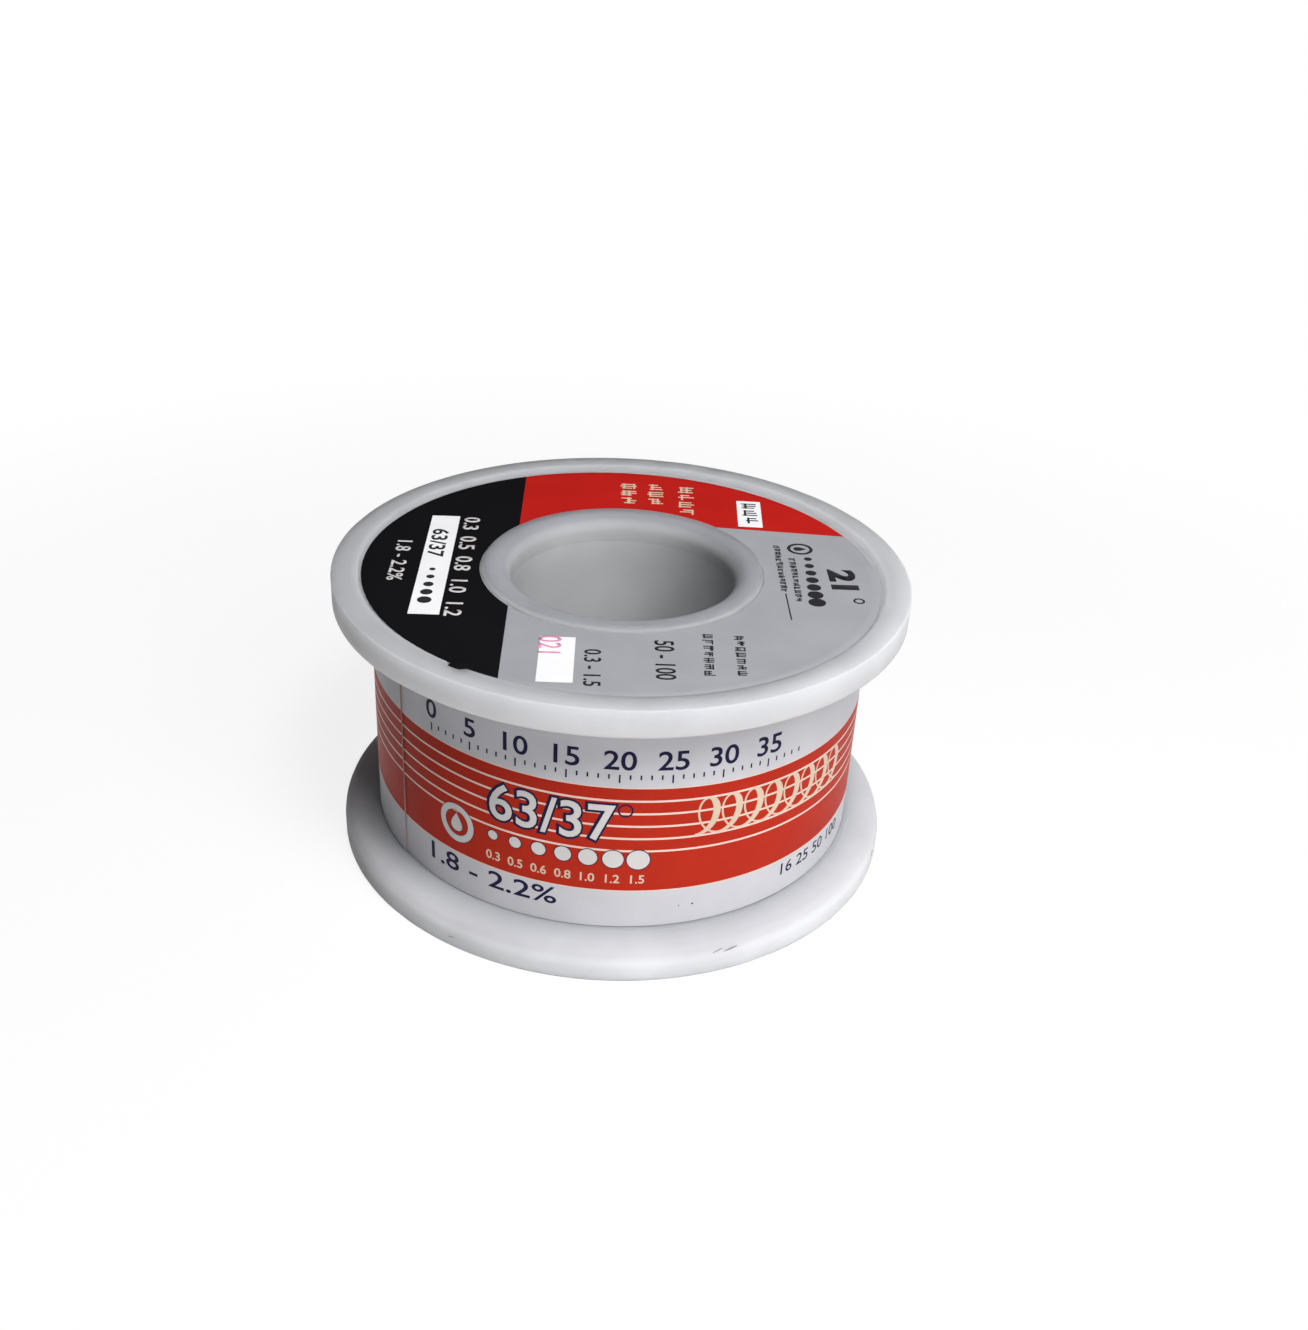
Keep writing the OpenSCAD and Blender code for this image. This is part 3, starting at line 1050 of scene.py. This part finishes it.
def face_label_mesh():
    """The ring with its three printed fields, cut apart along their straight edges."""
    form = bmesh.new()
    rim_mark = form.verts.layers.int.new("pressed_rim")
    rows = []
    for ring in range(face_rings + 2):
        row = []
        for s in range(face_steps):
            angle = 2 * math.pi * s / face_steps
            radius = face_hole_r + (face_r - pressed_edge - face_hole_r) * ring / face_rings
            if ring > face_rings:
                radius = face_r
            # Pressed on while it was pulled, the ring is a little longer one way than the other.
            outward = (radius - face_hole_r) / (face_r - face_hole_r)
            radius += outward * face_stretch * math.cos(2 * (angle - stretch_angle))
            if ring >= face_rings:
                # The die cut is faintly uneven all round, and frayed where it fills the gap.
                fray = fray_outer if ring > face_rings else fray_inner
                radius += fray * in_gap(math.cos(angle), math.sin(angle))
                radius += cut_wobble * noise.noise(Vector((cut_waves * angle, 0, 4)))
            spot = form.verts.new((radius * math.cos(angle), radius * math.sin(angle), 0))
            spot[rim_mark] = int(ring > face_rings)
            row.append(spot)
        rows.append(row)
    for inner, outer in zip(rows, rows[1:]):
        for s in range(face_steps):
            k = (s + 1) % face_steps
            form.faces.new((inner[s], outer[s], outer[k], inner[k]))
    bmesh.ops.translate(form, verts=form.verts, vec=face_shift)
    dark_normal = Matrix.Rotation(math.radians(dark_turn), 3, "Z") @ Vector((1, 0, 0))
    bright_normal = Matrix.Rotation(math.radians(bright_turn), 3, "Z") @ Vector((0, 1, 0))
    for normal, distance in ((dark_normal, dark_edge), (bright_normal, bright_edge)):
        cut_apart(form, normal * distance, normal)
    for face in form.faces:
        centre = face.calc_center_median()
        if centre.dot(dark_normal) < dark_edge:
            face.material_index = black_field
        elif centre.dot(bright_normal) > bright_edge or (centre.x < 0 and centre.y > 0):
            face.material_index = red_field
    for vertex in doubled(form):
        vertex.co.z = paper_t * (pressed_share if vertex[rim_mark] else 1)
    for vertex in form.verts:
        if math.hypot(vertex.co.x, vertex.co.y) > frayed_from:
            vertex.co.z += (tray_depth - paper_t) * in_gap(vertex.co.x, vertex.co.y)
    bmesh.ops.translate(form, verts=form.verts, vec=(0, 0, face_z))
    bmesh.ops.recalc_face_normals(form, faces=form.faces)
    mesh = finished_mesh("face_label", form)
    mesh.shade_smooth()
    mesh.set_sharp_from_angle(angle=math.radians(50))
    return mesh


face_stock = {
    silver_field: printed_paper(
        "face_silver", "a0a1a6", 0.5, 0.25, metallic=0.05, specular=0.03
    ),
    black_field: printed_paper("face_black", "171619", 0.5, 0.2, specular=0.0),
    red_field: printed_paper("face_red", "c0231e", 0.5, 0.2, specular=0.0),
}
face_mesh = face_label_mesh()
for stock in face_stock.values():
    face_mesh.materials.append(stock)
add_piece("face_print", face_mesh, ["face_label"])


# ---- Print on the face label -----------------------------------------------------------------
# Thin ink on the ring, laid out in mm and read from the left-hand side: white boxes, numbers,
# gauge dots and small marks. A number is stamped by hand in pink over the corner of one box.
down = -90 + dark_turn


def flat_ink(name, sheet, material, lift=ink_lift):
    """Lays finished print on the face label and shows it as a piece."""
    mesh = solid_ink(sheet, lift)
    mesh.transform(Matrix.Translation((0, 0, face_z + paper_t)))
    mesh.materials.append(material)
    add_piece(name, mesh)


def tally(sheet, x, top, bottom, wide, stroke, seed):
    """Column of small marks, each a few short crossing strokes that spell nothing."""
    draw = random.Random(seed)
    y = top
    while y > bottom + 0.5:
        long = draw.uniform(0.7, 0.95) * wide
        for part in range(draw.choice((2, 3, 3))):
            across = draw.uniform(0.5, 1.0) * wide
            side = x + draw.uniform(-0.5, 0.5) * (wide - across)
            bar(sheet, side, y - long * (0.12 + 0.38 * part), across, stroke)
        # The upright strokes lie a hair higher, each over the last, so that no faces coincide.
        for part in range(draw.choice((1, 2))):
            side = x + draw.uniform(-0.42, 0.42) * wide
            bar(sheet, side, y - long / 2, stroke, long, raised=0.004 + 0.003 * part)
        y -= long + 0.3 * wide


box_white = printed_paper("box_white", "f6f6f8", 0.5, 0.15)
ink_black = printed_paper("ink_black", "17171c", 0.45, 0.1, specular=0.04)
stamp_pink = printed_paper("stamp_pink", "e58fb4", 0.5, 0.1)

boxes, marks, pale, red_pale, stamp = (bmesh.new() for _ in range(5))
bar(boxes, -19.5, -0.8, 3.05, 23.7, 1.6)
bar(boxes, -5.85, -20.4, 3.35, 8.6, 0.8)
bar(boxes, 14.1, 15.4, 2.75, 7.3, -1)
figures(
    pale, "0.3  0.5  0.8  1.0  1.2", -16.65, -0.9, 1.75, down, weight=0.016, stretch=1.2
)
figures(pale, "1.8 - 2.2%", -23.25, -0.7, 1.6, down, weight=0.014, stretch=1.15)
figures(marks, "63/37", -19.85, 3.9, 1.8, down, weight=0.02, stretch=1.3)
for k in range(5):
    disc(marks, -19.6 + 0.03 * k, -2.6 - 1.75 * k, 0.32 + 0.1 * k, steps=20)
figures(marks, "0.3 - 1.5", -2.45, -21.7, 1.6, down, weight=0.01, stretch=0.95)
figures(marks, "50 - 100", 4.25, -19.7, 1.9, down, weight=0.01, stretch=0.85)
hoop(marks, 19.1, 6.4, 1.4, 1.05)
drop(marks, 19.1, 6.4, 1.4, down)
for k in range(7):
    disc(marks, 19.75, 3.9 - 1.72 * k, 0.42 + 0.08 * k, steps=22)
figures(marks, "21", 23.0, -0.8, 2.9, down, weight=0.05, stretch=1.5)
hoop(marks, 24.1, -5.7, 0.6, 0.4, steps=22)
bar(marks, 16.75, -7.6, 0.13, 5.8, dark_turn)
# Sheet, place from left to right, top, bottom, width and stroke of each column of marks
columns = [
    (marks, 8.35, -14.3, -22.9, 1.05, 0.14),
    (marks, 11.4, -14.4, -22.3, 1.05, 0.14),
    (marks, 18.0, 3.9, -6.3, 0.75, 0.13),
    (marks, 16.6, 7.0, -4.6, 0.75, 0.13),
    (marks, 14.15, 18.4, 12.2, 1.75, 0.26),
    (red_pale, 0.2, 22.8, 17.7, 2.0, 0.24),
    (red_pale, 3.4, 22.9, 16.6, 1.9, 0.24),
    (red_pale, 6.95, 22.5, 13.9, 1.9, 0.24),
]
for seed, column in enumerate(columns, start=13):
    tally(*column, seed)
figures(stamp, "021", -6.6, -17.7, 2.2, down, weight=0.006, stretch=0.85)

flat_ink("face_boxes", boxes, box_white)
flat_ink("face_ink_dark", marks, ink_black, lift=2 * ink_lift)
flat_ink("face_ink_pale", pale, ink_white)
flat_ink("face_ink_cream", red_pale, ink_cream)
flat_ink("face_stamp", stamp, stamp_pink, lift=2 * ink_lift)


# ---- Scuffs ----------------------------------------------------------------------------------
# Grey rub marks on the lower rim, where the reel slid along something dark. Each is a sliver
# that hugs the rim's wall, a hair thick.
scuff_t = 0.005 * MM
scuff_depth = 0.1 * MM
scuff_slant = 0.1 * MM
scuff_steps = 12
# Degrees round from the front towards the right, height, length and width in mm of each mark
scuffs = [(24, 2.32, 1.5, 0.11), (21.3, 2.4, 1.1, 0.05), (-31, 1.2, 0.9, 0.06),
          (71, 1.7, 1.1, 0.08), (163, 1.9, 1.4, 0.1)]
bevel_angle = math.atan2(flange_t - rim_t, bevel_w)
wall_top = rim_t - worn_edge_r / math.tan(math.pi / 4 + bevel_angle / 2)


def wall_reach(height):
    """Radius of the lower rim's wall, which curves in above its straight part."""
    above = max(0.0, height - wall_top)
    return flange_r - worn_edge_r + math.sqrt(worn_edge_r ** 2 - above ** 2)


def scuff_mesh():
    """Slivers along the rim, each tapering to both ends."""
    form = bmesh.new()
    for place, height, long, wide in scuffs:
        rows = []
        for k in range(scuff_steps + 1):
            t = 2 * k / scuff_steps - 1
            half = max(0.1, 1 - t * t) * wide / 2 * MM
            angle = math.radians(place) + t * long / 2 * MM / flange_r
            middle = height * MM + scuff_slant * t
            corners = []
            for sunk, z in (
                (scuff_depth, middle - half), (-scuff_t, middle - half),
                (-scuff_t, middle + half), (scuff_depth, middle + half),
            ):
                reach = wall_reach(z) - sunk
                spot = (reach * math.sin(angle), -reach * math.cos(angle), z)
                corners.append(form.verts.new(spot))
            rows.append(corners)
        for one, other in zip(rows, rows[1:]):
            for i in range(4):
                form.faces.new((one[i], other[i], other[(i + 1) % 4], one[(i + 1) % 4]))
        form.faces.new(rows[0])
        form.faces.new(rows[-1])
    bmesh.ops.recalc_face_normals(form, faces=form.faces)
    return finished_mesh("rim_scuffs", form)


scuffs_mesh = scuff_mesh()
scuffs_mesh.materials.append(printed_paper("rubbed_grey", "8b8d93", 0.6, 0.3))
add_piece("rim_scuffs", scuffs_mesh)
